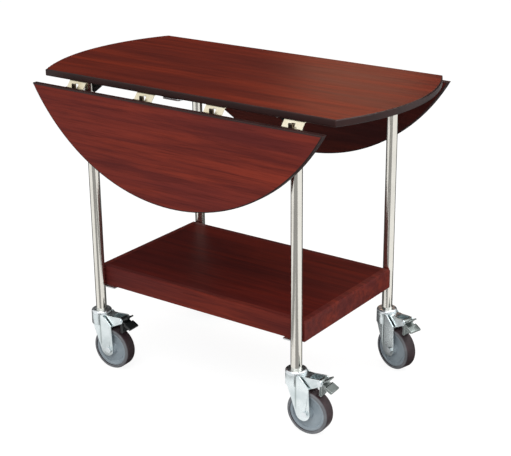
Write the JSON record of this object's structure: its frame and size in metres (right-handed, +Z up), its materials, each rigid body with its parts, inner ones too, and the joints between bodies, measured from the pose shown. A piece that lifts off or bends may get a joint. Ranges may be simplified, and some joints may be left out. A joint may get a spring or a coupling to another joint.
{
  "type": "room service table",
  "caption": "Wheeled drop-leaf serving table with a round top, a lower shelf on tube legs and braked swivel casters.",
  "frame": {"origin": "on the floor under the middle of the table, leaves hanging", "axes": "+X along the hinge lines of the leaves, +Y across the table to the rear leaf, +Z up"},
  "size_m": [0.9198, 0.546, 0.74],
  "materials": {
    "mahogany_laminate": "satin laminate, fine grain along the table",
    "shelf_laminate": "satin laminate, fine grain along the table",
    "dark_edging": "dark rounded edging, semi-gloss",
    "chrome_tube": "polished",
    "zinc_plate": "bright zinc plate",
    "brass_plate": "pale, bright",
    "dark_socket": "black, satin",
    "bar_steel": "satin",
    "screw_steel": "bright",
    "grey_hub": "blue-grey, satin",
    "tyre_rubber": "dark, matte",
    "pedal_black": "black, semi-gloss",
    "pedal_grey": "metallic grey"
  },
  "bodies": {
    "frame": {"centre_panel": "mahogany_laminate", "centre_panel_edging": "dark_edging", "leg_front_left": "chrome_tube", "leg_front_right": "chrome_tube", "leg_rear_left": "chrome_tube", "leg_rear_right": "chrome_tube", "leg_sockets": "dark_socket", "panel_screws": "screw_steel", "shelf_board": "shelf_laminate", "shelf_front_fascia": "shelf_laminate", "shelf_rear_fascia": "shelf_laminate", "shelf_left_fascia": "shelf_laminate", "shelf_right_fascia": "shelf_laminate", "shelf_tabs": "zinc_plate", "shelf_screws": "screw_steel", "front_hinge_panel_plates": "brass_plate", "rear_hinge_panel_plates": "brass_plate", "front_hinge_pins": "brass_plate", "rear_hinge_pins": "brass_plate", "bar_guides": "zinc_plate", "bar_stop_screws": "screw_steel", "swivel_head_front_left": "zinc_plate", "swivel_head_front_right": "zinc_plate", "swivel_head_rear_left": "zinc_plate", "swivel_head_rear_right": "zinc_plate"},
    "front_leaf_body": {"front_leaf": "mahogany_laminate", "front_leaf_edging": "dark_edging", "front_hinge_leaf_plates": "brass_plate", "front_leaf_screws": "brass_plate"},
    "rear_leaf_body": {"rear_leaf": "mahogany_laminate", "rear_leaf_edging": "dark_edging", "rear_hinge_leaf_plates": "brass_plate", "rear_leaf_screws": "brass_plate"},
    "front_bar_body": {"front_support_bar": "bar_steel"},
    "rear_bar_body": {"rear_support_bar": "bar_steel"},
    "caster_front_left": {"fork_front_left": "zinc_plate", "axle_front_left": "zinc_plate", "pedal_pin_front_left": "zinc_plate"},
    "wheel_front_left": {"wheel_hub_front_left": "grey_hub", "tyre_front_left": "tyre_rubber"},
    "pedal_front_left": {"brake_pedal_front_left": "pedal_black"},
    "caster_front_right": {"fork_front_right": "zinc_plate", "axle_front_right": "zinc_plate", "pedal_pin_front_right": "zinc_plate"},
    "wheel_front_right": {"wheel_hub_front_right": "grey_hub", "tyre_front_right": "tyre_rubber"},
    "pedal_front_right": {"brake_pedal_front_right": "pedal_grey"},
    "caster_rear_left": {"fork_rear_left": "zinc_plate", "axle_rear_left": "zinc_plate", "pedal_pin_rear_left": "zinc_plate"},
    "wheel_rear_left": {"wheel_hub_rear_left": "grey_hub", "tyre_rear_left": "tyre_rubber"},
    "pedal_rear_left": {"brake_pedal_rear_left": "pedal_grey"},
    "caster_rear_right": {"fork_rear_right": "zinc_plate", "axle_rear_right": "zinc_plate", "pedal_pin_rear_right": "zinc_plate"},
    "wheel_rear_right": {"wheel_hub_rear_right": "grey_hub", "tyre_rear_right": "tyre_rubber"},
    "pedal_rear_right": {"brake_pedal_rear_right": "pedal_grey"}
  },
  "joints": [
    {"name": "rear_leaf_hinge", "type": "hinge", "parent": "frame", "child": "rear_leaf_body", "pos_m": [0, 0.239, 0.706], "axis": [1, 0, 0], "range_deg": [0, 90]},
    {"name": "front_leaf_hinge", "type": "hinge", "parent": "frame", "child": "front_leaf_body", "pos_m": [0, -0.239, 0.706], "axis": [-1, 0, 0], "range_deg": [0, 90]},
    {"name": "rear_bar_slide", "type": "slide", "parent": "frame", "child": "rear_bar_body", "axis": [0, 1, 0], "range_m": [0, 0.115]},
    {"name": "front_bar_slide", "type": "slide", "parent": "frame", "child": "front_bar_body", "axis": [0, -1, 0], "range_m": [0, 0.115]},
    {"name": "swivel_front_left", "type": "hinge", "parent": "frame", "child": "caster_front_left", "pos_m": [-0.289, -0.2, 0.112], "axis": [0, 0, 1], "continuous": true},
    {"name": "wheel_spin_front_left", "type": "hinge", "parent": "caster_front_left", "child": "wheel_front_left", "pos_m": [-0.25305, -0.19812, 0.052], "axis": [-0.0523, 0.9986, 0], "continuous": true},
    {"name": "brake_front_left", "type": "hinge", "parent": "caster_front_left", "child": "pedal_front_left", "pos_m": [-0.22109, -0.19644, 0.134], "axis": [-0.0523, 0.9986, 0], "range_deg": [0, 20]},
    {"name": "swivel_front_right", "type": "hinge", "parent": "frame", "child": "caster_front_right", "pos_m": [0.289, -0.2, 0.112], "axis": [0, 0, 1], "continuous": true},
    {"name": "wheel_spin_front_right", "type": "hinge", "parent": "caster_front_right", "child": "wheel_front_right", "pos_m": [0.32495, -0.19812, 0.052], "axis": [-0.0523, 0.9986, 0], "continuous": true},
    {"name": "brake_front_right", "type": "hinge", "parent": "caster_front_right", "child": "pedal_front_right", "pos_m": [0.35691, -0.19644, 0.134], "axis": [-0.0523, 0.9986, 0], "range_deg": [0, 20]},
    {"name": "swivel_rear_left", "type": "hinge", "parent": "frame", "child": "caster_rear_left", "pos_m": [-0.289, 0.2, 0.112], "axis": [0, 0, 1], "continuous": true},
    {"name": "wheel_spin_rear_left", "type": "hinge", "parent": "caster_rear_left", "child": "wheel_rear_left", "pos_m": [-0.25344, 0.19437, 0.052], "axis": [0.1564, 0.9877, 0], "continuous": true},
    {"name": "brake_rear_left", "type": "hinge", "parent": "caster_rear_left", "child": "pedal_rear_left", "pos_m": [-0.22184, 0.18936, 0.134], "axis": [0.1564, 0.9877, 0], "range_deg": [0, 20]},
    {"name": "swivel_rear_right", "type": "hinge", "parent": "frame", "child": "caster_rear_right", "pos_m": [0.289, 0.2, 0.112], "axis": [0, 0, 1], "continuous": true},
    {"name": "wheel_spin_rear_right", "type": "hinge", "parent": "caster_rear_right", "child": "wheel_rear_right", "pos_m": [0.32377, 0.19068, 0.052], "axis": [0.2588, 0.9659, 0], "continuous": true},
    {"name": "brake_rear_right", "type": "hinge", "parent": "caster_rear_right", "child": "pedal_rear_right", "pos_m": [0.35468, 0.1824, 0.134], "axis": [0.2588, 0.9659, 0], "range_deg": [0, 20]}
  ]
}
